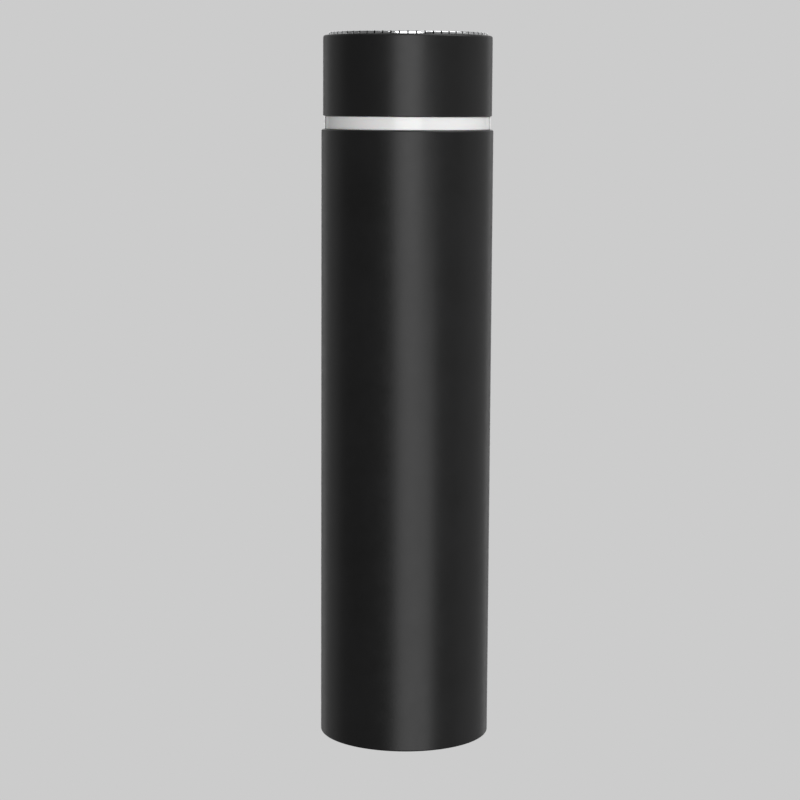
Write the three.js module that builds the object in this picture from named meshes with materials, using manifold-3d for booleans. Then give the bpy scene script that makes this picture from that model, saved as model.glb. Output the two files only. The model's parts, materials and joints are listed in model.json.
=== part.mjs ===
// Slim double-walled vacuum flask with an insulated twist-off lid. It stands on its base at Z = 0, centred on
// the Z axis, which is also the axis of the lid's thread. All sizes are in millimetres.
//
// The steel bottle is two nested shells with an evacuated space between them. A plastic collar pushed over
// its neck carries three short thread lugs, and its foot shows as a pale band between bottle and lid. The
// lid is a plastic cup in a dark shell, dressed with a slotted metal crown. A foam-filled plug swivels in
// the cup, so that the seal is pressed onto the rim without being rubbed.
import * as THREE from "three";
import { mergeVertices } from "three/addons/utils/BufferGeometryUtils.js";
import Module from "manifold-3d";

const wasm = await Module();
wasm.setup();

// ---- Driving dimensions ----
const SHELL_RADIUS = 32.5; // outside of the bottle
const SHOULDER_TOP = 233.5; // flat shoulder that the collar sits on
const BAND_HEIGHT = 5; // pale band between bottle and lid
const BAND_RADIUS = 31.4;
const LID_HEIGHT = 30;
const LID_RADIUS = 31.9;
const MOUTH_RADIUS = 24; // inside of the neck
const MOUTH_TOP = 256; // drinking rim
const CAVITY_RADIUS = 27.6; // inside of the inner bottle
const CAVITY_FLOOR = 8.6;
const CROWN_RADIUS = 30;
const CROWN_BORE = 27.4;
const CROWN_RISE = 1; // how far the crown stands above the lid's top edge
const CROWN_SLOTS = 60;
const PAD_RADIUS = 28.2; // foot pad
const STEEL = 0.6; // sheet thickness of the outer shell and base
const LINER_STEEL = 0.5; // sheet thickness of the inner bottle
const PLASTIC = 1.3; // wall of the plastic mouldings
const GAP = 0.3; // clearance between touching pieces
const THREAD_STARTS = 3;
const THREAD_LEAD = 9; // rise for a full turn
const THREAD_DEPTH = 1.1;

// ---- Heights and radii that follow from them ----
const SHELL_FOOT = 0.5; // lower edge of the outer shell, held off the table by the foot pad
const SHELL_BORE = SHELL_RADIUS - STEEL;
const NECK_BORE = MOUTH_RADIUS + LINER_STEEL + 0.4; // inside of the outer shell's neck
const NECK_RADIUS = NECK_BORE + STEEL;
const LINER_RADIUS = CAVITY_RADIUS + LINER_STEEL;
const LINER_SEAM = 22; // where the inner bottle's tube meets its dished end
const BAND_TOP = SHOULDER_TOP + BAND_HEIGHT;
const COLLAR_BORE = NECK_RADIUS + GAP;
const COLLAR_TOP = 253.5;
const MALE_ROOT = COLLAR_BORE + 1.6; // wall that the collar's lugs stand on
const FEMALE_ROOT = MALE_ROOT + 1.6; // wall that the lid's lugs stand on
const CUP_RADIUS = FEMALE_ROOT + PLASTIC;
const LID_BORE = CUP_RADIUS + GAP;
const LID_TOP = BAND_TOP + LID_HEIGHT;
const LID_DECK = LID_TOP - 1.1; // floor of the recess that holds the crown and the top plate
const CROWN_TOP = LID_TOP + CROWN_RISE;
const SEAL_TOP = MOUTH_TOP + GAP + 2;
const FLANGE_FOOT = SEAL_TOP + GAP; // underside of the plug's flange, over the seal
const FLANGE_TOP = FLANGE_FOOT + 1.6;
const CUP_DECK = FLANGE_TOP + GAP; // underside of the lid cup's deck
const CUP_TOP = CUP_DECK + 1.5;
const PLUG_RADIUS = 22.6;
const PLUG_BORE = PLUG_RADIUS - PLASTIC;
const PLUG_FOOT = 234;

const VISIBLE_STEPS = 48; // facets in a full circle on the outside
const HIDDEN_STEPS = 32; // facets in a full circle inside

// ---- Finishes ----
const finish = (color, roughness, metalness) =>
  new THREE.MeshStandardMaterial({ color, roughness, metalness });
const blackCoat = finish(0x17171a, 0.5, 0);
const whitePlastic = finish(0xe8e8e6, 0.3, 0);
const blackPlastic = finish(0x2a2a2c, 0.45, 0);
const chrome = finish(0xd8dadc, 0.12, 1);
const spunSteel = finish(0xb9bbbd, 0.35, 1);
const steel = finish(0xa9abad, 0.3, 1);
const copper = finish(0xb4693f, 0.35, 1);
const clearSilicone = finish(0xdcdedc, 0.45, 0);
const darkSilicone = finish(0x202022, 0.7, 0);
const foam = finish(0xf0ead8, 0.95, 0);
const getterAlloy = finish(0x6d6f72, 0.6, 0.6);
const solderGlass = finish(0x4c5a52, 0.2, 0);

// ---- Shape helpers ----

// A profile of [radius, height] corners. A third number rounds that corner off with an arc of that radius,
// in more steps the larger it is.
function outline(corners) {
  const points = [];
  corners.forEach(([x, y, rounding = 0], i) => {
    const corner = new THREE.Vector2(x, y);
    if (!rounding) {
      points.push(corner);
      return;
    }
    const before = new THREE.Vector2(...corners.at(i - 1)).sub(corner).normalize();
    const after = new THREE.Vector2(...corners[(i + 1) % corners.length]).sub(corner).normalize();
    const halfAngle = Math.acos(THREE.MathUtils.clamp(before.dot(after), -1, 1)) / 2;
    const centre = before.clone().add(after).normalize();
    centre.multiplyScalar(rounding / Math.sin(halfAngle)).add(corner);
    const reach = rounding / Math.tan(halfAngle);
    const from = before.multiplyScalar(reach).add(corner).sub(centre).angle();
    const to = after.multiplyScalar(reach).add(corner).sub(centre).angle();
    const sweep = THREE.MathUtils.euclideanModulo(to - from + Math.PI, 2 * Math.PI) - Math.PI;
    const steps = Math.ceil(Math.sqrt(rounding));
    for (let k = 0; k <= steps; k++) {
      const angle = from + (sweep * k) / steps;
      points.push(new THREE.Vector2(Math.cos(angle), Math.sin(angle)).multiplyScalar(rounding).add(centre));
    }
  });
  return points;
}

// A body of revolution about Z. The profile closes on itself, or runs from the axis back to the axis.
function turned(corners, steps = HIDDEN_STEPS) {
  const points = outline(corners);
  if (THREE.ShapeUtils.area(points) < 0) points.reverse();
  const start = points.findIndex((point, i) => point.x === 0 && points.at(i - 1).x === 0);
  if (start < 0) {
    points.push(points[0].clone());
  } else {
    points.push(...points.splice(0, start));
  }
  return new THREE.LatheGeometry(points, steps).rotateX(Math.PI / 2);
}

// A closed three.js geometry as a manifold-3d solid, with its faces turned outwards.
function toSolid(geometry) {
  const bare = geometry.clone().deleteAttribute("normal").deleteAttribute("uv");
  const merged = mergeVertices(bare, 1e-3);
  const triVerts = new Uint32Array(merged.index.array);
  const vertProperties = merged.getAttribute("position").array;
  const solid = new wasm.Manifold(new wasm.Mesh({ numProp: 3, vertProperties, triVerts }));
  if (solid.volume() > 0) return solid;
  for (let i = 0; i < triVerts.length; i += 3) {
    [triVerts[i], triVerts[i + 1]] = [triVerts[i + 1], triVerts[i]];
  }
  return new wasm.Manifold(new wasm.Mesh({ numProp: 3, vertProperties, triVerts }));
}

function toGeometry(solid) {
  const mesh = solid.getMesh();
  const geometry = new THREE.BufferGeometry();
  geometry.setAttribute("position", new THREE.BufferAttribute(mesh.vertProperties, 3));
  geometry.setIndex(new THREE.BufferAttribute(mesh.triVerts, 1));
  geometry.computeVertexNormals();
  return geometry;
}

// One thread lug: a straight bar of the lug's section, wrapped round Z along a right-hand helix. It stands
// out from rootRadius, or in if depth is negative, and runs out into the wall at both ends.
function threadLug(rootRadius, depth, height, startAngle) {
  const sweep = THREE.MathUtils.degToRad(50);
  const runOut = THREE.MathUtils.degToRad(8);
  const steps = 8;
  const rootWidth = 2.6;
  const crestWidth = 1.4;
  const buried = 0.6; // how far the lug reaches into the wall
  const sunk = 0.2; // how far below the wall's surface the crest starts
  const tall = Math.abs(depth);
  const section = new THREE.Shape([
    new THREE.Vector2(-buried, -rootWidth / 2),
    new THREE.Vector2(tall, -crestWidth / 2),
    new THREE.Vector2(tall, crestWidth / 2),
    new THREE.Vector2(-buried, rootWidth / 2),
  ]);
  const bar = new THREE.ExtrudeGeometry(section, { depth: sweep, steps, bevelEnabled: false });
  const position = bar.getAttribute("position");
  for (let i = 0; i < position.count; i++) {
    const turn = position.getZ(i);
    const full = THREE.MathUtils.clamp(Math.min(turn, sweep - turn) / runOut, 0, 1);
    const out = position.getX(i) > 0 ? THREE.MathUtils.lerp(-sunk, tall, full) : -buried;
    const radius = rootRadius + Math.sign(depth) * out;
    const angle = startAngle + turn;
    const rise = (THREAD_LEAD * turn) / (2 * Math.PI);
    position.setXYZ(i, radius * Math.cos(angle), radius * Math.sin(angle), height + rise + position.getY(i));
  }
  return bar;
}

// The body with one lug for each start of the thread.
function withLugs(body, rootRadius, depth, height, startAngle) {
  let solid = toSolid(body);
  for (let start = 0; start < THREAD_STARTS; start++) {
    const angle = startAngle + (2 * Math.PI * start) / THREAD_STARTS;
    solid = solid.add(toSolid(threadLug(rootRadius, depth, height, angle)));
  }
  return toGeometry(solid);
}

// ---- Bottle ----

// Outer shell: a drawn tube turned in at the top to a flat shoulder and a neck, open at both ends.
function outerShell() {
  const neckTop = MOUTH_TOP - 1;
  return turned(
    [
      [SHELL_BORE, SHELL_FOOT],
      [SHELL_RADIUS, SHELL_FOOT, 0.3],
      [SHELL_RADIUS, SHOULDER_TOP, 0.5],
      [NECK_RADIUS, SHOULDER_TOP],
      [NECK_RADIUS, neckTop],
      [NECK_BORE, neckTop],
      [NECK_BORE, SHOULDER_TOP - STEEL],
      [SHELL_BORE, SHOULDER_TOP - STEEL],
    ],
    VISIBLE_STEPS,
  );
}

// Inner bottle: tube and neck, with a rolled drinking rim that closes over the outer shell's neck.
function innerLiner() {
  const coneFoot = 219;
  const coneTop = 227;
  const neckOutside = MOUTH_RADIUS + LINER_STEEL;
  return turned([
    [CAVITY_RADIUS, LINER_SEAM],
    [CAVITY_RADIUS, coneFoot, 6],
    [MOUTH_RADIUS, coneTop, 6],
    [MOUTH_RADIUS, MOUTH_TOP, 0.3],
    [NECK_RADIUS, MOUTH_TOP, 0.3],
    [NECK_RADIUS, MOUTH_TOP - 0.7],
    [neckOutside, MOUTH_TOP - 0.7],
    [neckOutside, coneTop, 6],
    [LINER_RADIUS, coneFoot, 6],
    [LINER_RADIUS, LINER_SEAM],
  ]);
}

// Dished end of the inner bottle, with a generous corner so that it rinses clean.
function linerBottom() {
  const top = LINER_SEAM - GAP;
  const outside = CAVITY_FLOOR - LINER_STEEL;
  const corner = 8;
  return turned([
    [0, CAVITY_FLOOR],
    [CAVITY_RADIUS, CAVITY_FLOOR, corner],
    [CAVITY_RADIUS, top],
    [LINER_RADIUS, top],
    [LINER_RADIUS, outside, corner + LINER_STEEL],
    [0, outside],
  ]);
}

// Copper foil round the inner bottle, which turns radiant heat back.
function copperWrap() {
  const inner = LINER_RADIUS + GAP;
  const outer = inner + 0.3;
  const foot = 26;
  const top = 214;
  return turned([
    [inner, foot],
    [outer, foot],
    [outer, top],
    [inner, top],
  ]);
}

// Pressed end cap that closes the vacuum space, with a dimple round its pump-out hole.
function baseCap() {
  const radius = SHELL_BORE - GAP;
  const face = 3.2;
  const flangeTop = 8;
  const dimpleRadius = 6;
  const dimpleTop = face + 0.8;
  const holeRadius = 1;
  return turned([
    [holeRadius, dimpleTop],
    [dimpleRadius, dimpleTop],
    [dimpleRadius, face],
    [radius, face, 0.8],
    [radius, flangeTop],
    [radius - STEEL, flangeTop],
    [radius - STEEL, face + STEEL],
    [dimpleRadius + STEEL, face + STEEL],
    [dimpleRadius + STEEL, dimpleTop + STEEL],
    [holeRadius, dimpleTop + STEEL],
  ]);
}

// Bead of solder glass under the pump-out hole.
function vacuumSeal() {
  const radius = 2.6;
  const foot = 3;
  const top = 3.7;
  return turned([
    [0, foot],
    [radius, foot, 0.3],
    [radius, top],
    [0, top],
  ]);
}

// Getter: a pellet that soaks up stray gas in the vacuum, under the inner bottle.
function getterPill() {
  const radius = 4;
  const foot = 5.5;
  const top = 7.4;
  return turned([
    [0, foot],
    [radius, foot, 0.3],
    [radius, top],
    [0, top],
  ]);
}

// Steel strap that carries the getter, bent to a shallow U with two feet spot-welded to the inner bottle.
function getterClip() {
  const width = 5;
  const strap = 0.25;
  const sling = 4.95; // underside of the strap
  const footTop = 7.8;
  const halfSpan = 4.4; // inside of the U
  const reach = 8; // end of each foot
  const side = halfSpan + strap;
  const shape = new THREE.Shape([
    new THREE.Vector2(-side, sling),
    new THREE.Vector2(side, sling),
    new THREE.Vector2(side, footTop - strap),
    new THREE.Vector2(reach, footTop - strap),
    new THREE.Vector2(reach, footTop),
    new THREE.Vector2(halfSpan, footTop),
    new THREE.Vector2(halfSpan, sling + strap),
    new THREE.Vector2(-halfSpan, sling + strap),
    new THREE.Vector2(-halfSpan, footTop),
    new THREE.Vector2(-reach, footTop),
    new THREE.Vector2(-reach, footTop - strap),
    new THREE.Vector2(-side, footTop - strap),
  ]);
  const strip = new THREE.ExtrudeGeometry(shape, { depth: width, bevelEnabled: false });
  return strip.translate(0, 0, -width / 2).rotateX(Math.PI / 2);
}

// Steel plate that finishes the underside, with a recess for the foot pad.
const RECESS_ROOF = 1.9;
function basePlate() {
  const radius = SHELL_BORE - GAP;
  const recess = PAD_RADIUS + GAP;
  return turned(
    [
      [0, RECESS_ROOF],
      [recess, RECESS_ROOF],
      [recess, SHELL_FOOT],
      [radius, SHELL_FOOT, 0.2],
      [radius, SHELL_FOOT + STEEL],
      [recess + STEEL, SHELL_FOOT + STEEL],
      [recess + STEEL, RECESS_ROOF + STEEL],
      [0, RECESS_ROOF + STEEL],
    ],
    VISIBLE_STEPS,
  );
}

// Non-slip pad that the flask stands on.
function footPad() {
  const top = RECESS_ROOF - GAP;
  return turned(
    [
      [0, 0],
      [PAD_RADIUS, 0, 0.4],
      [PAD_RADIUS, top],
      [0, top],
    ],
    VISIBLE_STEPS,
  );
}

// ---- Neck ----

// Groove inside the collar that holds its O-ring.
const GROOVE_FOOT = 235.2;
const GROOVE_TOP = 237;

const MALE_HEIGHT = 248; // middle of a collar lug at its lower end

// White collar: the band that shows, and above it the lugged spigot that the lid covers.
function neckCollar() {
  const foot = SHOULDER_TOP + GAP;
  const bandTop = BAND_TOP - 0.1;
  const grooveRadius = COLLAR_BORE + 1.5;
  const body = turned(
    [
      [COLLAR_BORE, foot],
      [BAND_RADIUS, foot, 0.2],
      [BAND_RADIUS, bandTop, 0.2],
      [MALE_ROOT, bandTop],
      [MALE_ROOT, COLLAR_TOP, 0.6],
      [COLLAR_BORE, COLLAR_TOP],
      [COLLAR_BORE, GROOVE_TOP],
      [grooveRadius, GROOVE_TOP],
      [grooveRadius, GROOVE_FOOT],
      [COLLAR_BORE, GROOVE_FOOT],
    ],
    VISIBLE_STEPS,
  );
  return withLugs(body, MALE_ROOT, THREAD_DEPTH, MALE_HEIGHT, 0);
}

// O-ring that keeps drips from creeping between collar and steel neck.
function collarSeal() {
  const section = 0.6;
  const ring = new THREE.TorusGeometry(COLLAR_BORE + 0.7, section, 6, HIDDEN_STEPS);
  return ring.translate(0, 0, (GROOVE_FOOT + GROOVE_TOP) / 2);
}

// ---- Plug ----

const PLUG_PLAY = 1.8; // how far the plug can rise inside the seal before it picks the seal up
const SEAL_LIP = MOUTH_TOP - 4;

// Mouth gasket: a flat ring on the drinking rim, with a lip that hangs inside the mouth.
function mouthGasket() {
  const inner = PLUG_RADIUS + GAP;
  const outer = NECK_RADIUS + 0.3;
  const waist = inner + 0.6;
  return turned([
    [inner, SEAL_LIP],
    [MOUTH_RADIUS - GAP, SEAL_LIP],
    [waist, SEAL_LIP + 2.6],
    [waist, MOUTH_TOP + GAP],
    [outer, MOUTH_TOP + GAP, 0.4],
    [outer, SEAL_TOP, 0.4],
    [inner, SEAL_TOP],
  ]);
}

// Hollow plug that hangs in the mouth, with a flange that presses the gasket down.
function plugShell() {
  const flangeRadius = FEMALE_ROOT - GAP;
  return turned([
    [0, PLUG_FOOT],
    [PLUG_RADIUS, PLUG_FOOT, 1.2],
    [PLUG_RADIUS, FLANGE_FOOT],
    [flangeRadius, FLANGE_FOOT],
    [flangeRadius, FLANGE_TOP],
    [PLUG_BORE, FLANGE_TOP],
    [PLUG_BORE, PLUG_FOOT + PLASTIC],
    [0, PLUG_FOOT + PLASTIC],
  ]);
}

const COVER_FOOT = FLANGE_TOP - PLASTIC;

// Insulating foam that fills the plug.
function plugFoam() {
  const radius = PLUG_BORE - GAP;
  return turned([
    [0, PLUG_FOOT + PLASTIC + GAP],
    [radius, PLUG_FOOT + PLASTIC + GAP],
    [radius, COVER_FOOT - GAP],
    [0, COVER_FOOT - GAP],
  ]);
}

// Disc welded into the plug's open top, which keeps the foam dry.
function plugCover() {
  const radius = PLUG_BORE - GAP;
  return turned([
    [0, COVER_FOOT],
    [radius, COVER_FOOT],
    [radius, FLANGE_TOP],
    [0, FLANGE_TOP],
  ]);
}

// Drawn steel cup over the end of the plug, so that the drink meets only steel. Its rim catches the gasket.
function plugCap() {
  const sheet = 0.4;
  const inner = PLUG_RADIUS + GAP;
  const outer = inner + sheet;
  const floor = PLUG_FOOT - GAP;
  const top = SEAL_LIP - GAP - PLUG_PLAY;
  return turned([
    [0, floor - sheet],
    [outer, floor - sheet, 2],
    [outer, top],
    [inner, top],
    [inner, floor, 1.5],
    [0, floor],
  ]);
}

// ---- Lid ----

// Inner cup: a skirt with the lid's lugs, and a deck that bears on the plug's flange.
function lidCup() {
  const skirtFoot = BAND_TOP + 0.9;
  const belowMale = 2.1; // closed, the lid's lugs lie this far under the collar's
  const lag = THREE.MathUtils.degToRad(-5); // how far round from the collar's lugs they start
  const body = turned([
    [FEMALE_ROOT, skirtFoot],
    [CUP_RADIUS, skirtFoot, 0.3],
    [CUP_RADIUS, CUP_TOP],
    [0, CUP_TOP],
    [0, CUP_DECK],
    [FEMALE_ROOT, CUP_DECK],
  ]);
  const height = MALE_HEIGHT - belowMale + (THREAD_LEAD * lag) / (2 * Math.PI);
  return withLugs(body, FEMALE_ROOT, -THREAD_DEPTH, height, lag);
}

// Ring snapped into the cup under the plug's flange, so that the plug stays in the lid.
function plugRetainer() {
  const outer = FEMALE_ROOT - GAP;
  const inner = outer - 2;
  const top = FLANGE_FOOT - GAP;
  const foot = top - 1.2;
  return turned([
    [inner, foot],
    [outer, foot],
    [outer, top],
    [inner, top],
  ]);
}

const LID_CEILING = LID_DECK - PLASTIC;

// Disc of foam between the cup's deck and the lid's top.
function lidFoam() {
  const radius = CUP_RADIUS - 1;
  return turned([
    [0, CUP_TOP + GAP],
    [radius, CUP_TOP + GAP],
    [radius, LID_CEILING - GAP],
    [0, LID_CEILING - GAP],
  ]);
}

// Dark outer shell of the lid, with a stepped top that holds the crown and the top plate.
function lidShell() {
  const foot = BAND_TOP + 0.2;
  const recess = CROWN_RADIUS + GAP;
  return turned(
    [
      [LID_BORE, foot],
      [LID_RADIUS, foot, 0.3],
      [LID_RADIUS, LID_TOP, 1],
      [recess, LID_TOP],
      [recess, LID_DECK],
      [0, LID_DECK],
      [0, LID_CEILING],
      [LID_BORE, LID_CEILING],
    ],
    VISIBLE_STEPS,
  );
}

// Metal crown: a ring with an even row of narrow slots cut into its outer face.
function crownRing() {
  const slotWidth = 0.5;
  const slotDepth = 1.3;
  const foot = LID_DECK + GAP;
  const blank = turned(
    [
      [CROWN_BORE, foot],
      [CROWN_RADIUS, foot],
      [CROWN_RADIUS, CROWN_TOP, 0.5],
      [CROWN_BORE, CROWN_TOP],
    ],
    CROWN_SLOTS,
  );
  const cutter = toSolid(new THREE.BoxGeometry(2 * slotDepth, slotWidth, 8));
  let solid = toSolid(blank);
  for (let slot = 0; slot < CROWN_SLOTS; slot++) {
    const degrees = (360 * slot) / CROWN_SLOTS;
    solid = solid.subtract(cutter.translate([CROWN_RADIUS, 0, CROWN_TOP]).rotate([0, 0, degrees]));
  }
  return toGeometry(solid);
}

// Spun steel disc set inside the crown, a little below its top.
function topPlate() {
  const radius = CROWN_BORE - GAP;
  const top = CROWN_TOP - 0.6;
  return turned(
    [
      [0, LID_DECK + GAP],
      [radius, LID_DECK + GAP],
      [radius, top, 0.3],
      [0, top],
    ],
    VISIBLE_STEPS,
  );
}

// ---- Assembly ----

const flask = new THREE.Group();
const bottle = new THREE.Group();
const plug = new THREE.Group();
const lid = new THREE.Group();
flask.add(bottle, plug, lid);

function place(group, name, geometry, material) {
  const mesh = new THREE.Mesh(geometry, material);
  mesh.name = name;
  group.add(mesh);
}

place(bottle, "outer_shell", outerShell(), blackCoat);
place(bottle, "inner_liner", innerLiner(), steel);
place(bottle, "liner_bottom", linerBottom(), steel);
place(bottle, "copper_wrap", copperWrap(), copper);
place(bottle, "base_cap", baseCap(), steel);
place(bottle, "vacuum_seal", vacuumSeal(), solderGlass);
place(bottle, "getter_pill", getterPill(), getterAlloy);
place(bottle, "getter_clip", getterClip(), steel);
place(bottle, "base_plate", basePlate(), blackCoat);
place(bottle, "foot_pad", footPad(), darkSilicone);
place(bottle, "neck_collar", neckCollar(), whitePlastic);
place(bottle, "collar_seal", collarSeal(), clearSilicone);

place(plug, "mouth_gasket", mouthGasket(), clearSilicone);
place(plug, "plug_shell", plugShell(), blackPlastic);
place(plug, "plug_foam", plugFoam(), foam);
place(plug, "plug_cover", plugCover(), blackPlastic);
place(plug, "plug_cap", plugCap(), steel);

place(lid, "lid_cup", lidCup(), blackPlastic);
place(lid, "plug_retainer", plugRetainer(), blackPlastic);
place(lid, "lid_foam", lidFoam(), foam);
place(lid, "lid_shell", lidShell(), blackCoat);
place(lid, "crown_ring", crownRing(), chrome);
place(lid, "top_plate", topPlate(), spunSteel);

export default flask;
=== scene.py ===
"""Looks for the slim vacuum flask: fine turned meshes, materials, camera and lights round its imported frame.

The flask's axis is Z and it stands at Z = 0. Sizes are in millimetres until MM turns them into metres.
"""

import json
import math

import bmesh
import bpy
from mathutils import Matrix, Vector


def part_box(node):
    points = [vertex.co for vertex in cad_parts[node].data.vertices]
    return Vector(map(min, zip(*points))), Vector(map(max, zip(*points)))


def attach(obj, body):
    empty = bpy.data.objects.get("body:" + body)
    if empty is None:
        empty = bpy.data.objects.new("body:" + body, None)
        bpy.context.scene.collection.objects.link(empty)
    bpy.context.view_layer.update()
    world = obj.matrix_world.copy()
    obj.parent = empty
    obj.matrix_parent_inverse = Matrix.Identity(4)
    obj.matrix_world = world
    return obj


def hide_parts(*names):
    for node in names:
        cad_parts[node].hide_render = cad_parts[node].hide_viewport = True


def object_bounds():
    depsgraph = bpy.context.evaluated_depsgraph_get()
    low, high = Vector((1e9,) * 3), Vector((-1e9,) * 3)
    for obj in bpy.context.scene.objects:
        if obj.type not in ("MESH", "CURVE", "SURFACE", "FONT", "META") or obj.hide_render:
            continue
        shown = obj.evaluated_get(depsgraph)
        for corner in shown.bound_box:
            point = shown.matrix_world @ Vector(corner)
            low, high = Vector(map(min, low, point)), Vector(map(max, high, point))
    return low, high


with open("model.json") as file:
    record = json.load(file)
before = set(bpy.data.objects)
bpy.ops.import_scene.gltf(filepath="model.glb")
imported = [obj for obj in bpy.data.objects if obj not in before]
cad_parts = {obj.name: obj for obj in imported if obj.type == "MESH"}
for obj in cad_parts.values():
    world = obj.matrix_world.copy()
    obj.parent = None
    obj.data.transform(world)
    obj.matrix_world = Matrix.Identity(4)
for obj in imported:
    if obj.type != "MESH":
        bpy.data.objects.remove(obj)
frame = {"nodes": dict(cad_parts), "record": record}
cad_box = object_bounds()

MM = 0.001
FULL_TURN = 2 * math.pi


# ---- Sizes from the frame ----

def foot(node):
    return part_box(node)[0][2] / MM


def top(node):
    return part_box(node)[1][2] / MM


def outside(node):
    """The node's largest radius."""
    return (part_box(node)[1][0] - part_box(node)[0][0]) / 2 / MM


GAP = 0.3  # clearance that the CAD leaves between touching pieces
SLIT = 0.04  # clearance left under and over the white band, where the pieces all but meet
STEEL = 0.6  # sheet of the outer shell and the base plate
LINER_STEEL = 0.5  # sheet of the inner bottle
PLASTIC = 1.3  # wall of the plastic mouldings
LINER_SLACK = 0.4  # between the inner bottle's neck and the outer shell's
COLLAR_WALL = 1.6

SHELL_RADIUS = outside("outer_shell")
SHOULDER_TOP = foot("neck_collar") - GAP
MOUTH_TOP = top("inner_liner")
NECK_RADIUS = outside("mouth_gasket") - GAP
NECK_BORE = NECK_RADIUS - STEEL
MOUTH_RADIUS = NECK_BORE - LINER_STEEL - LINER_SLACK
LINER_RADIUS = outside("inner_liner")
CAVITY_RADIUS = LINER_RADIUS - LINER_STEEL
COLLAR_BORE = NECK_RADIUS + GAP
BAND_TOP = foot("lid_shell") - GAP
MALE_ROOT = COLLAR_BORE + COLLAR_WALL  # wall that the collar's lugs stand on
FEMALE_ROOT = outside("plug_retainer") + GAP  # wall that the lid's lugs stand on
LID_TOP = top("lid_shell")
LID_DECK = foot("crown_ring") - GAP
CROWN_RADIUS = outside("crown_ring")
CROWN_BORE = outside("top_plate") + GAP
CROWN_SLOTS = 60
CROWN_SLOT_WIDTH = 0.5
CROWN_SLOT_FLOOR = CROWN_RADIUS - 1.3
CROWN_TOOTH_EDGE = 0.03  # the teeth's broken edges
CROWN_PITCH = FULL_TURN / CROWN_SLOTS
PLUG_CAP_RADIUS = outside("plug_cap")
PLUG_RADIUS = outside("plug_cover") + GAP + PLASTIC


# ---- Mesh helpers ----

ARC_STEPS = 6  # facets in a rounded corner
TURN_STEPS = 192  # facets in a full circle


def outline(corners):
    """Points of a profile of (radius, height) corners. A third number rounds a corner off by that radius."""
    points = []
    for i, (x, y, *rounding) in enumerate(corners):
        corner = Vector((x, y))
        if not rounding:
            points.append(corner)
            continue
        before = (Vector(corners[i - 1][:2]) - corner).normalized()
        after = (Vector(corners[(i + 1) % len(corners)][:2]) - corner).normalized()
        half_angle = before.angle(after) / 2
        centre = corner + (before + after).normalized() * rounding[0] / math.sin(half_angle)
        reach = rounding[0] / math.tan(half_angle)
        start = corner + before * reach - centre
        end = corner + after * reach - centre
        angle = math.atan2(start.y, start.x)
        sweep = (math.atan2(end.y, end.x) - angle + math.pi) % FULL_TURN - math.pi
        for k in range(ARC_STEPS + 1):
            turn = angle + sweep * k / ARC_STEPS
            points.append(centre + Vector((math.cos(turn), math.sin(turn))) * rounding[0])
    return points


def loft(name, stations):
    """A closed mesh through (angle, points) stations round Z. All have the same number of points."""
    mesh = bmesh.new()
    rings = []
    for angle, points in stations:
        spoke = Vector((math.cos(angle), math.sin(angle)))
        rings.append([mesh.verts.new((*(spoke * p.x * MM), p.y * MM)) for p in points])
    count = len(rings[0])
    on_axis = stations[0][1][0].x == 0 and stations[0][1][-1].x == 0
    for ring, following in zip(rings, rings[1:] + rings[:1]):
        for i in range(count - 1 if on_axis else count):
            j = (i + 1) % count
            mesh.faces.new((ring[i], following[i], following[j], ring[j]))
    bmesh.ops.remove_doubles(mesh, verts=mesh.verts, dist=1e-7)
    bmesh.ops.recalc_face_normals(mesh, faces=mesh.faces)
    data = bpy.data.meshes.new(name)
    mesh.to_mesh(data)
    mesh.free()
    data.shade_smooth()
    data.set_sharp_from_angle(angle=math.radians(30))
    piece = bpy.data.objects.new(name, data)
    bpy.context.scene.collection.objects.link(piece)
    piece.modifiers.new("even shading", "WEIGHTED_NORMAL").keep_sharp = True
    return piece


def turned(name, corners, push=None):
    """A body of revolution. push(angle, point) says how many millimetres a profile's point moves out."""
    points = outline(corners)
    stations = []
    for k in range(TURN_STEPS):
        angle = FULL_TURN * k / TURN_STEPS
        moved = [Vector((p.x + push(angle, p), p.y)) for p in points] if push else points
        stations.append((angle, moved))
    return loft(name, stations)


# ---- Material helpers ----

def principled(name, color, roughness, metallic=0.0, **sockets):
    """A new material and its Principled shader. Other sockets are set by name, with _ for a space."""
    material = bpy.data.materials.new(name)
    material.use_nodes = True
    shader = material.node_tree.nodes["Principled BSDF"]
    shader.inputs["Base Color"].default_value = (*color, 1)
    shader.inputs["Roughness"].default_value = roughness
    shader.inputs["Metallic"].default_value = metallic
    for socket, value in sockets.items():
        shader.inputs[socket.replace("_", " ")].default_value = value
    return material, shader


def add(material, kind, **settings):
    """A new node, with its inputs and properties set by name."""
    node = material.node_tree.nodes.new(kind)
    for key, value in settings.items():
        label = key.replace("_", " ")
        if label in node.inputs:
            node.inputs[label].default_value = value
        else:
            setattr(node, key, value)
    return node


def join(material, output, socket):
    material.node_tree.links.new(output, socket)


def noise(material, scale, detail=3.0, density=(1, 1, 1)):
    """Noise in the object's own space, with features about 1/scale metres across.

    density says how much closer they are packed along each axis.
    """
    where = add(material, "ShaderNodeTexCoord")
    mapping = add(material, "ShaderNodeMapping", Scale=density)
    texture = add(material, "ShaderNodeTexNoise", Scale=scale, Detail=detail)
    join(material, where.outputs["Object"], mapping.inputs["Vector"])
    join(material, mapping.outputs["Vector"], texture.inputs["Vector"])
    return texture.outputs["Fac"]


def own_position(material):
    """Outputs X, Y and Z of the point in the object's own space."""
    where = add(material, "ShaderNodeTexCoord")
    split = add(material, "ShaderNodeSeparateXYZ")
    join(material, where.outputs["Object"], split.inputs["Vector"])
    return split.outputs


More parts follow.
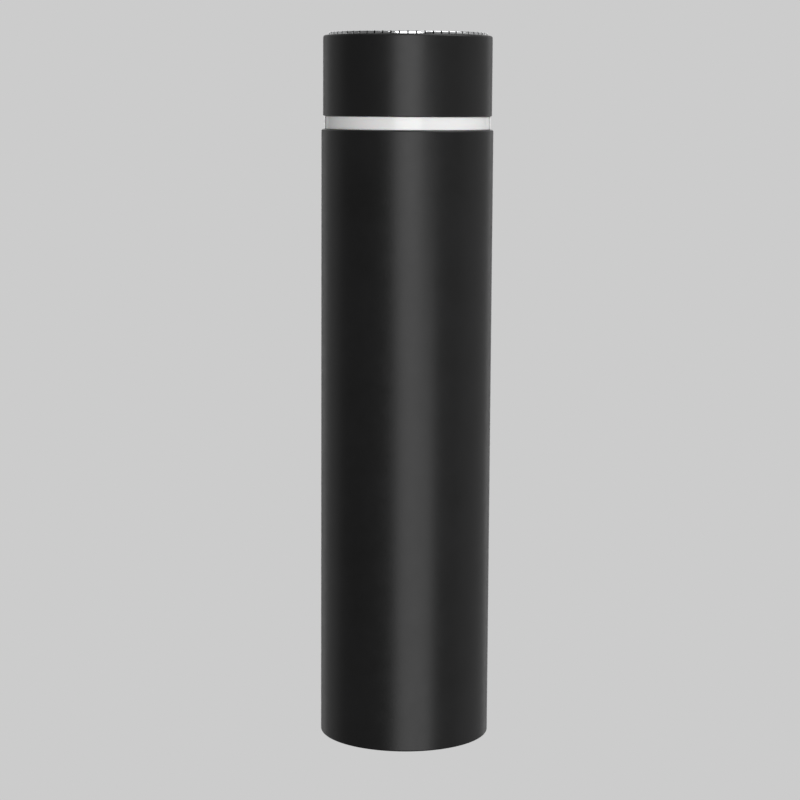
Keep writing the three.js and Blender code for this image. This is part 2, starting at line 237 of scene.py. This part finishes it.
def radius_at(material, position):
    """The position's distance from the object's Z axis."""
    flat = add(material, "ShaderNodeCombineXYZ")
    join(material, position["X"], flat.inputs["X"])
    join(material, position["Y"], flat.inputs["Y"])
    length = add(material, "ShaderNodeVectorMath", operation="LENGTH")
    join(material, flat.outputs["Vector"], length.inputs[0])
    return length.outputs["Value"]


def lathe_marks(material, distance, scale):
    """Noise that changes only with one distance, the radius or the height."""
    texture = add(material, "ShaderNodeTexNoise", noise_dimensions="1D", Scale=scale, Detail=4.0)
    join(material, distance, texture.inputs["W"])
    return texture.outputs["Fac"]


def calculate(material, operation, *values):
    """A maths node on outputs of other nodes or plain numbers."""
    node = add(material, "ShaderNodeMath", operation=operation)
    for socket, value in zip(node.inputs, values):
        if isinstance(value, float):
            socket.default_value = value
        else:
            join(material, value, socket)
    return node.outputs["Value"]


NOISE_LOW = 0.3  # noise mostly stays between these two
NOISE_HIGH = 0.7


def vary_roughness(material, shader, texture, low, high):
    spread = add(
        material, "ShaderNodeMapRange", From_Min=NOISE_LOW, From_Max=NOISE_HIGH, To_Min=low, To_Max=high
    )
    join(material, texture, spread.inputs["Value"])
    join(material, spread.outputs["Result"], shader.inputs["Roughness"])


def vary_color(material, shader, texture, dark, light):
    ramp = add(material, "ShaderNodeValToRGB")
    ramp.color_ramp.elements[0].position = NOISE_LOW
    ramp.color_ramp.elements[0].color = (*dark, 1)
    ramp.color_ramp.elements[1].position = NOISE_HIGH
    ramp.color_ramp.elements[1].color = (*light, 1)
    join(material, texture, ramp.inputs["Fac"])
    join(material, ramp.outputs["Color"], shader.inputs["Base Color"])


def emboss(material, shader, texture, depth):
    """Fine relief, depth millimetres deep."""
    relief = add(material, "ShaderNodeBump", Strength=1.0, Distance=depth * MM)
    join(material, texture, relief.inputs["Height"])
    join(material, relief.outputs["Normal"], shader.inputs["Normal"])


def paint_shade_into(material, shader, mask, color, dulling):
    """Painted shade: where mask is 1, the varied color gives way to this dark one, standing in for shade, and
    dulling is added to the roughness.
    """
    unshaded = shader.inputs["Base Color"].links[0].from_socket
    polish = shader.inputs["Roughness"].links[0].from_socket
    shade_mix = add(material, "ShaderNodeMixRGB", Color2=(*color, 1))
    join(material, mask, shade_mix.inputs["Fac"])
    join(material, unshaded, shade_mix.inputs["Color1"])
    join(material, shade_mix.outputs["Color"], shader.inputs["Base Color"])
    rough = calculate(material, "ADD", polish, calculate(material, "MULTIPLY", mask, dulling))
    join(material, rough, shader.inputs["Roughness"])


# ---- Materials ----

def grey(value):
    return (value, value, value)


def satin_black(name, patches, gloss_patches, grain, depth):
    """Satin black, a little uneven in color and gloss, with a fine grain.

    patches, gloss_patches and grain are scales for noise(), and depth is the grain's in millimetres.
    """
    material, shader = principled(name, grey(0.009), 0.34, Specular_IOR_Level=0.38)
    vary_color(material, shader, noise(material, patches), grey(0.0078), (0.0102, 0.0102, 0.0105))
    vary_roughness(material, shader, noise(material, gloss_patches), 0.32, 0.36)
    emboss(material, shader, noise(material, grain, detail=2), depth)
    return material


def powder_coat():
    """Powder coat with a very fine orange peel."""
    return satin_black("satin_black_coat", 60, 240, 1400, 0.012)


def lid_plastic():
    """Moulding with a spark-eroded grain."""
    return satin_black("satin_black_plastic", 40, 400, 3000, 0.008)


def white_plastic():
    """Glossy white moulding, slightly translucent, with faint flow marks."""
    material, shader = principled(
        "white_plastic", grey(0.93), 0.14, Specular_IOR_Level=0.6, Subsurface_Weight=0.08
    )
    shader.inputs["Subsurface Scale"].default_value = 0.001
    vary_color(material, shader, noise(material, 30), (0.92, 0.92, 0.916), (0.94, 0.94, 0.936))
    vary_roughness(material, shader, noise(material, 300), 0.11, 0.16)
    emboss(material, shader, noise(material, 900), 0.004)
    return material


def black_plastic():
    """Inner mouldings: plainer and duller than the lid's skin."""
    material, shader = principled("black_moulding", grey(0.02), 0.5)
    vary_color(material, shader, noise(material, 80), grey(0.017), grey(0.024))
    vary_roughness(material, shader, noise(material, 500), 0.42, 0.55)
    emboss(material, shader, noise(material, 1800), 0.006)
    return material


def crown_slots(material):
    """1 on the walls and floors of the crown's slots, and 0 elsewhere: where the chrome gets its painted
    shade.
    """
    slack = 0.01  # millimetres that a slot's floor may lie further in
    position = own_position(material)
    radius = radius_at(material, position)
    angle = calculate(material, "ARCTAN2", position["Y"], position["X"])
    pitches = calculate(material, "DIVIDE", angle, CROWN_PITCH)
    past_slot = calculate(material, "SUBTRACT", pitches, calculate(material, "ROUND", pitches))
    half_width = (CROWN_SLOT_WIDTH + CROWN_TOOTH_EDGE) / 2 / CROWN_RADIUS / CROWN_PITCH
    between_teeth = calculate(material, "LESS_THAN", calculate(material, "ABSOLUTE", past_slot), half_width)
    past_floor = calculate(material, "GREATER_THAN", radius, (CROWN_SLOT_FLOOR - slack) * MM)
    return calculate(material, "MULTIPLY", between_teeth, past_floor)


def chrome():
    """Bright plated metal with hairline polishing marks. Down in the crown's slots it is rougher and painted
    near black, as painted shade.
    """
    material, shader = principled("chrome", (0.84, 0.85, 0.86), 0.1, 1.0)
    marks = noise(material, 900, density=(1, 1, 6))
    vary_color(material, shader, marks, (0.80, 0.81, 0.82), (0.86, 0.87, 0.88))
    vary_roughness(material, shader, marks, 0.07, 0.15)
    # Painted shade: the slots' walls and floors are painted near black to stand in for the shade down in
    # them, and made rougher.
    paint_shade_into(material, shader, crown_slots(material), grey(0.03), 0.6)
    emboss(material, shader, noise(material, 700), 0.002)
    return material


def spun_steel():
    """Steel faced on a lathe: fine rings round the axis."""
    material, shader = principled("spun_steel", (0.62, 0.625, 0.63), 0.28, 1.0)
    rings = lathe_marks(material, radius_at(material, own_position(material)), 9000)
    vary_color(material, shader, rings, (0.56, 0.565, 0.57), (0.68, 0.685, 0.69))
    vary_roughness(material, shader, rings, 0.22, 0.34)
    emboss(material, shader, rings, 0.01)
    return material


def bottle_steel():
    """Steel of the inner bottle: drawn, then polished round and round."""
    material, shader = principled("bottle_steel", (0.74, 0.74, 0.735), 0.3, 1.0)
    rings = lathe_marks(material, own_position(material)["Z"], 4000)
    vary_color(material, shader, rings, (0.69, 0.69, 0.685), (0.78, 0.78, 0.775))
    vary_roughness(material, shader, rings, 0.25, 0.38)
    emboss(material, shader, rings, 0.006)
    return material


def copper_foil():
    """Crinkled copper foil."""
    material, shader = principled("copper_foil", (0.78, 0.42, 0.27), 0.3, 1.0)
    crinkles = noise(material, 160, detail=6)
    vary_color(material, shader, crinkles, (0.66, 0.33, 0.2), (0.85, 0.48, 0.32))
    vary_roughness(material, shader, crinkles, 0.22, 0.4)
    emboss(material, shader, crinkles, 0.4)
    return material


def clear_silicone():
    """Milky translucent silicone."""
    material, shader = principled(
        "milky_silicone", grey(0.78), 0.4, Subsurface_Weight=0.4, Transmission_Weight=0.15
    )
    shader.inputs["Subsurface Scale"].default_value = 0.002
    vary_color(material, shader, noise(material, 120), (0.74, 0.75, 0.74), (0.82, 0.83, 0.82))
    vary_roughness(material, shader, noise(material, 600), 0.34, 0.46)
    emboss(material, shader, noise(material, 1500), 0.005)
    return material


def dark_silicone():
    """Matt dark silicone with a dry, dusty grain."""
    material, shader = principled("dark_silicone", grey(0.02), 0.7)
    vary_color(material, shader, noise(material, 500, detail=6), grey(0.014), grey(0.032))
    vary_roughness(material, shader, noise(material, 300), 0.62, 0.8)
    emboss(material, shader, noise(material, 2500), 0.01)
    return material


def rigid_foam():
    """Closed-cell insulating foam."""
    material, shader = principled("rigid_foam", (0.82, 0.76, 0.6), 0.95)
    cells = noise(material, 900, detail=2)
    vary_color(material, shader, cells, (0.7, 0.62, 0.45), (0.88, 0.83, 0.69))
    vary_roughness(material, shader, cells, 0.9, 1.0)
    emboss(material, shader, cells, 0.25)
    return material


def getter_alloy():
    """Pressed metal powder."""
    material, shader = principled("getter_alloy", grey(0.2), 0.6, 0.8)
    grains = noise(material, 3000, detail=5)
    vary_color(material, shader, grains, grey(0.12), grey(0.3))
    vary_roughness(material, shader, grains, 0.5, 0.75)
    emboss(material, shader, grains, 0.05)
    return material


def solder_glass():
    """Fused glass bead, dark green with a few bubbles."""
    material, shader = principled("solder_glass", (0.03, 0.06, 0.045), 0.12)
    vary_color(material, shader, noise(material, 800), (0.02, 0.045, 0.035), (0.05, 0.08, 0.06))
    vary_roughness(material, shader, noise(material, 1200), 0.06, 0.2)
    emboss(material, shader, noise(material, 1000), 0.03)
    return material


FINISHES = {
    "black_coat": powder_coat(),
    "lid_plastic": lid_plastic(),
    "white_plastic": white_plastic(),
    "black_plastic": black_plastic(),
    "chrome": chrome(),
    "spun_steel": spun_steel(),
    "steel": bottle_steel(),
    "copper": copper_foil(),
    "clear_silicone": clear_silicone(),
    "dark_silicone": dark_silicone(),
    "foam": rigid_foam(),
    "getter_alloy": getter_alloy(),
    "solder_glass": solder_glass(),
}
SLOT_OF = {part["node"]: part["material_slot"] for part in frame["record"]["subparts"]}
BODY_OF = {
    node: body
    for body, nodes in frame["record"]["behaviour"]["bodies"].items()
    for node in nodes
}


def stand_for(piece, node):
    """Dresses a piece in its CAD node's finish, rides it on that node's body and hides the node."""
    piece.data.materials.append(FINISHES[SLOT_OF[node]])
    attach(piece, BODY_OF[node])
    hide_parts(node)


# ---- Bottle ----

def outer_shell():
    """Drawn tube with a small radius at the shoulder, a rounded foot and a plain neck."""
    neck_top = MOUTH_TOP - 1
    return turned("shell", [
        (SHELL_RADIUS - STEEL, foot("outer_shell")),
        (SHELL_RADIUS, foot("outer_shell"), 0.58),
        (SHELL_RADIUS, SHOULDER_TOP, 0.75),
        (NECK_RADIUS, SHOULDER_TOP, 0.4),
        (NECK_RADIUS, neck_top),
        (NECK_BORE, neck_top),
        (NECK_BORE, SHOULDER_TOP - STEEL),
        (SHELL_RADIUS - STEEL, SHOULDER_TOP - STEEL),
    ])


def inner_bottle():
    """Tube, cone and neck of the inner bottle, with a rolled drinking rim."""
    cone_foot = SHOULDER_TOP - 14.5
    cone_top = SHOULDER_TOP - 6.5
    seam = foot("inner_liner")
    rim_foot = MOUTH_TOP - 0.7
    neck_outside = MOUTH_RADIUS + LINER_STEEL
    return turned("bottle_lining", [
        (CAVITY_RADIUS, seam),
        (CAVITY_RADIUS, cone_foot, 6),
        (MOUTH_RADIUS, cone_top, 6),
        (MOUTH_RADIUS, MOUTH_TOP, 0.34),
        (NECK_RADIUS, MOUTH_TOP, 0.34),
        (NECK_RADIUS, rim_foot),
        (neck_outside, rim_foot),
        (neck_outside, cone_top, 6),
        (LINER_RADIUS, cone_foot, 6),
        (LINER_RADIUS, seam),
    ])


def dished_end():
    """Dished bottom of the inner bottle."""
    floor = foot("liner_bottom") + LINER_STEEL
    corner = 8
    return turned("bottle_lining_floor", [
        (0, floor),
        (CAVITY_RADIUS, floor, corner),
        (CAVITY_RADIUS, top("liner_bottom")),
        (LINER_RADIUS, top("liner_bottom")),
        (LINER_RADIUS, floor - LINER_STEEL, corner + LINER_STEEL),
        (0, floor - LINER_STEEL),
    ])


def base_plate():
    """Plate on the underside, with a recess for the foot pad."""
    recess = outside("foot_pad") + GAP
    roof = top("foot_pad") + GAP
    low = foot("base_plate")
    return turned("underside_plate", [
        (0, roof),
        (recess, roof),
        (recess, low, 0.15),
        (outside("base_plate"), low, 0.3),
        (outside("base_plate"), low + STEEL),
        (recess + STEEL, low + STEEL),
        (recess + STEEL, roof + STEEL),
        (0, roof + STEEL),
    ])


def foot_pad():
    """Silicone pad with two shallow grooves that let it grip a wet table."""
    radius = outside("foot_pad")
    groove_width = 1.2
    groove_depth = 0.4
    grooves = []
    for share in (0.45, 0.8):
        middle = radius * share
        grooves += [
            (middle - groove_width / 2, 0, 0.1),
            (middle - groove_width / 2, groove_depth, 0.1),
            (middle + groove_width / 2, groove_depth, 0.1),
            (middle + groove_width / 2, 0, 0.1),
        ]
    return turned("grip_pad", [
        (0, 0),
        *grooves,
        (radius, 0, 0.4),
        (radius, top("foot_pad")),
        (0, top("foot_pad")),
    ])


# ---- Thread lugs ----

THREAD_STARTS = 3
THREAD_LEAD = 9  # rise in a full turn
LUG_DEPTH = 1.1
LUG_SWEEP = math.radians(50)
LUG_RUN_OUT = math.radians(9)
LUG_ROOT = 1.3  # half the lug's width where it stands on the wall
LUG_FLANK = 0.6  # how much narrower each side is at the crest
LUG_ROWS = 36
LUG_MARGIN = 0.1  # plain wall above and below the rows that the lugs take up
LUG_WALL_REACH = 0.01  # a point this close to the lugs' wall is on it
COLLAR_LUG_HEIGHT = top("neck_collar") - 5.5  # middle of a collar lug at its lower end
LID_LUG_DROP = 2.1  # closed, the lid's lugs lie this far under the collar's
LID_LUG_LAG = math.radians(-5)


def smooth(value):
    """0 below 0, 1 above 1, and a smooth S between them."""
    held = min(max(value, 0), 1)
    return held * held * (3 - 2 * held)


def lug(angle, height, lug_height, lag=0.0):
    """How far a right-hand lug stands out of its wall here, from 0 to LUG_DEPTH."""
    turn = (angle - lag) % (FULL_TURN / THREAD_STARTS)
    along = min(turn, LUG_SWEEP - turn) / LUG_RUN_OUT
    off_middle = abs(height - lug_height - THREAD_LEAD * turn / FULL_TURN)
    return LUG_DEPTH * smooth(along) * smooth((LUG_ROOT - off_middle) / LUG_FLANK)


def lug_rows(radius, lug_height):
    """Close-set profile points on a wall, over the height that its lugs take up."""
    low = lug_height - LUG_ROOT - LUG_MARGIN
    high = lug_height + LUG_ROOT + THREAD_LEAD * LUG_SWEEP / FULL_TURN + LUG_MARGIN
    return [(radius, low + (high - low) * k / LUG_ROWS) for k in range(LUG_ROWS + 1)]


def lugs_on(radius, lug_height, outwards, lag=0.0):
    """A push for turned() that raises lugs from a wall. outwards is 1, or -1 for lugs that face the axis."""

    def push(angle, point):
        if abs(point.x - radius) > LUG_WALL_REACH:
            return 0
        return outwards * lug(angle, point.y, lug_height, lag)

    return push


# ---- Neck ----

def neck_collar():
    """White collar: the band that shows, and the lugged spigot that the lid covers."""
    low = SHOULDER_TOP + SLIT
    high = top("neck_collar")
    return turned("collar", [
        (COLLAR_BORE, low),
        (outside("neck_collar"), low, 0.25),
        (outside("neck_collar"), BAND_TOP, 0.3),
        (MALE_ROOT, BAND_TOP, 0.4),
        *lug_rows(MALE_ROOT, COLLAR_LUG_HEIGHT),
        (MALE_ROOT, high, 0.6),
        (COLLAR_BORE, high, 0.3),
    ], lugs_on(MALE_ROOT, COLLAR_LUG_HEIGHT, 1))


# ---- Plug ----

def mouth_gasket():
    """Silicone ring on the rim, with a tapered lip inside the mouth."""
    inner = PLUG_RADIUS + GAP
    waist = inner + 0.6
    lip = foot("mouth_gasket")
    lip_top = lip + 2.6
    ring = MOUTH_TOP + GAP
    return turned("seal_ring", [
        (inner, lip, 0.15),
        (MOUTH_RADIUS - GAP, lip, 0.3),
        (waist, lip_top, 0.8),
        (waist, ring, 0.3),
        (outside("mouth_gasket"), ring, 0.5),
        (outside("mouth_gasket"), top("mouth_gasket"), 0.5),
        (inner, top("mouth_gasket"), 0.2),
    ])


def plug_shell():
    """Hollow plug with the flange that presses on the seal."""
    flange_top = top("plug_shell")
    flange_foot = flange_top - 1.6
    low = foot("plug_shell")
    bore = PLUG_RADIUS - PLASTIC
    return turned("plug_body", [
        (0, low),
        (PLUG_RADIUS, low, 1.2),
        (PLUG_RADIUS, flange_foot, 0.2),
        (outside("plug_shell"), flange_foot, 0.3),
        (outside("plug_shell"), flange_top, 0.3),
        (bore, flange_top),
        (bore, low + PLASTIC),
        (0, low + PLASTIC),
    ])


def plug_cap():
    """Drawn steel cup over the plug's end."""
    sheet = 0.4
    low = foot("plug_cap")
    inner = PLUG_CAP_RADIUS - sheet
    return turned("plug_steel_cup", [
        (0, low),
        (PLUG_CAP_RADIUS, low, 2),
        (PLUG_CAP_RADIUS, top("plug_cap"), 0.15),
        (inner, top("plug_cap"), 0.15),
        (inner, low + sheet, 1.6),
        (0, low + sheet),
    ])


# ---- Lid ----

def lid_cup():
    """Inner cup with the lid's lugs."""
    low = foot("lid_cup")
    high = top("lid_cup")
    deck = high - 1.5
    lug_height = COLLAR_LUG_HEIGHT - LID_LUG_DROP + THREAD_LEAD * LID_LUG_LAG / FULL_TURN
    return turned("lid_lining", [
        (FEMALE_ROOT, low, 0.4),
        (outside("lid_cup"), low, 0.3),
        (outside("lid_cup"), high),
        (0, high),
        (0, deck),
        (FEMALE_ROOT, deck, 0.2),
        *reversed(lug_rows(FEMALE_ROOT, lug_height)),
    ], lugs_on(FEMALE_ROOT, lug_height, -1, LID_LUG_LAG))


def lid_shell():
    """Black skin of the lid, with a soft top edge."""
    inner = outside("lid_cup") + GAP
    low = BAND_TOP + SLIT
    recess = CROWN_RADIUS + GAP
    ceiling = LID_DECK - PLASTIC
    return turned("lid_skin", [
        (inner, low, 0.2),
        (outside("lid_shell"), low, 0.35),
        (outside("lid_shell"), LID_TOP, 1.05),
        (recess, LID_TOP, 0.15),
        (recess, LID_DECK),
        (0, LID_DECK),
        (0, ceiling),
        (inner, ceiling),
    ])


def crown_ring():
    """Metal crown, with a narrow slot between each pair of teeth."""
    low = foot("crown_ring")
    high = top("crown_ring")
    tooth = outline([
        (CROWN_BORE, low),
        (CROWN_SLOT_FLOOR, low),
        (CROWN_RADIUS, low),
        (CROWN_RADIUS, high, 0.5),
        (CROWN_SLOT_FLOOR, high),
        (CROWN_BORE, high, 0.3),
    ])

    def within(radius):
        return [Vector((min(p.x, radius), p.y)) for p in tooth]

    side = CROWN_SLOT_WIDTH / 2 / CROWN_RADIUS  # angle from a slot's middle to its wall
    face = side + CROWN_TOOTH_EDGE / CROWN_RADIUS  # and to where the tooth's full face starts
    stations = []
    for slot in range(CROWN_SLOTS):
        middle = CROWN_PITCH * slot
        stations += [
            (middle - side, within(CROWN_SLOT_FLOOR)),
            (middle + side, within(CROWN_SLOT_FLOOR)),
            (middle + side, within(CROWN_RADIUS - CROWN_TOOTH_EDGE)),
            (middle + face, tooth),
            (middle + CROWN_PITCH / 2, tooth),
            (middle + CROWN_PITCH - face, tooth),
            (middle + CROWN_PITCH - side, within(CROWN_RADIUS - CROWN_TOOTH_EDGE)),
        ]
    return loft("crown", stations)


def top_plate():
    """Spun steel disc with a shallow dish inside a raised edge."""
    low = foot("top_plate")
    high = top("top_plate")
    radius = outside("top_plate")
    edge_bore = radius - 2.2
    dish_radius = edge_bore - 0.4
    dish = high - 0.3
    return turned("top_disc", [
        (0, low),
        (radius, low),
        (radius, high, 0.3),
        (edge_bore, high, 0.3),
        (dish_radius, dish, 0.3),
        (0, dish),
    ])


PIECES = {
    "outer_shell": outer_shell(),
    "inner_liner": inner_bottle(),
    "liner_bottom": dished_end(),
    "base_plate": base_plate(),
    "foot_pad": foot_pad(),
    "neck_collar": neck_collar(),
    "mouth_gasket": mouth_gasket(),
    "plug_shell": plug_shell(),
    "plug_cap": plug_cap(),
    "lid_cup": lid_cup(),
    "lid_shell": lid_shell(),
    "crown_ring": crown_ring(),
    "top_plate": top_plate(),
}
for node, piece in PIECES.items():
    stand_for(piece, node)

for node, cad in frame["nodes"].items():
    if node not in PIECES:
        cad.data.materials.clear()
        cad.data.materials.append(FINISHES[SLOT_OF[node]])


# ---- Camera ----

def place_camera():
    """A long lens a little below the lid's top, looking slightly down."""
    data = bpy.data.cameras.new("camera")
    data.sensor_width = 36
    data.lens = 99.3
    camera = bpy.data.objects.new("camera", data)
    bpy.context.scene.collection.objects.link(camera)
    bpy.context.scene.camera = camera
    distance = 0.8402  # from the flask's axis, in metres
    height = 0.2453
    pitch = math.radians(7.8)
    yaw = math.radians(0.152)
    roll = math.radians(0.319)
    camera.matrix_world = (
        Matrix.Translation((0, -distance, height))
        @ Matrix.Rotation(yaw, 4, "Z")
        @ Matrix.Rotation(math.pi / 2 - pitch, 4, "X")
        @ Matrix.Rotation(roll, 4, "Z")
    )


place_camera()


# ---- Floor, backdrop and lights ----

BACKDROP = grey(0.6038)  # pale grey, the same on the floor and behind it


def pale_floor():
    """Wide pale floor, lit evenly from within so that it runs into the backdrop without a line."""
    data = bpy.data.meshes.new("floor")
    reach = 6  # metres
    corners = [(-reach, -reach, 0), (reach, -reach, 0), (reach, reach, 0), (-reach, reach, 0)]
    data.from_pydata(corners, [], [(0, 1, 2, 3)])
    floor = bpy.data.objects.new("floor", data)
    floor.location.z = -0.05 * MM  # just clear of the foot pad's underside
    bpy.context.scene.collection.objects.link(floor)
    material, shader = principled("pale_floor", grey(0.0), 1.0, Specular_IOR_Level=0.0)
    shader.inputs["Emission Color"].default_value = (*BACKDROP, 1)
    shader.inputs["Emission Strength"].default_value = 1.0
    data.materials.append(material)
    floor.visible_diffuse = False
    floor.visible_glossy = False
    floor.visible_transmission = False
    floor.visible_shadow = False


def backdrop(ambient):
    """The camera sees a plain grey backdrop; the flask is lit by a dimmer room."""
    world = bpy.data.worlds.new("studio")
    bpy.context.scene.world = world
    world.use_nodes = True
    nodes = world.node_tree.nodes
    links = world.node_tree.links
    seen = nodes["Background"]
    seen.inputs["Color"].default_value = (*BACKDROP, 1)
    room = nodes.new("ShaderNodeBackground")
    room.inputs["Color"].default_value = (*grey(ambient), 1)
    path = nodes.new("ShaderNodeLightPath")
    mix = nodes.new("ShaderNodeMixShader")
    links.new(path.outputs["Is Camera Ray"], mix.inputs["Fac"])
    links.new(room.outputs["Background"], mix.inputs[1])
    links.new(seen.outputs["Background"], mix.inputs[2])
    links.new(mix.outputs["Shader"], nodes["World Output"].inputs["Surface"])


LIGHT_DISTANCE = 1.5  # of each light from the middle of the flask, in metres
LIGHT_REACH = 1.2  # how many metres an upright softbox goes above and below the middle of the flask
FLASK_MIDDLE = (cad_box[0][2] + cad_box[1][2]) / 2


def area_light(name, width, height, brightness, azimuth, elevation, centre):
    """A rectangular light that faces a point on the flask's axis, centre metres up it.

    Azimuth 0 is behind the camera and 90 to its right, in degrees. brightness is that of the light's face.
    """
    data = bpy.data.lights.new(name, "AREA")
    data.shape = "RECTANGLE"
    data.size = width
    data.size_y = height
    data.energy = brightness * math.pi * width * height
    light = bpy.data.objects.new(name, data)
    bpy.context.scene.collection.objects.link(light)
    light.matrix_world = (
        Matrix.Translation((0, 0, centre))
        @ Matrix.Rotation(math.radians(azimuth), 4, "Z")
        @ Matrix.Rotation(math.radians(90 - elevation), 4, "X")
        @ Matrix.Translation((0, 0, LIGHT_DISTANCE))
    )


def softbox(name, azimuth, spread, brightness, low=-LIGHT_REACH, high=LIGHT_REACH):
    """An upright softbox that spans spread degrees, with its edges low and high from the flask's middle."""
    width = 2 * LIGHT_DISTANCE * math.tan(math.radians(spread) / 2)
    area_light(name, width, high - low, brightness, azimuth, 0, FLASK_MIDDLE + (low + high) / 2)


def raised_light(name, azimuth, elevation, side, brightness):
    """A square softbox above the flask."""
    area_light(name, side, side, brightness, azimuth, elevation, FLASK_MIDDLE)


pale_floor()
backdrop(0.14)
softbox("front_high", 1, 36, 2.7, low=-0.03)
softbox("front_low", 13, 48, 2.05, high=-0.03)
softbox("right_near", 55, 36, 0.14)
softbox("right_far", 105, 60, 0.25)
softbox("right_back", 147, 16, 0.55)
softbox("left_back", -125, 50, 0.205)
softbox("left_rim", -148, 16, 0.27)
softbox("left_edge", -170, 12, 1.1)
softbox("right_edge", 170, 12, 1.0)
raised_light("high_right", 75, 55, 1.2, 2.2)
raised_light("overhead", 0, 90, 1.3, 0.8)

bpy.context.scene.view_settings.view_transform = "Standard"
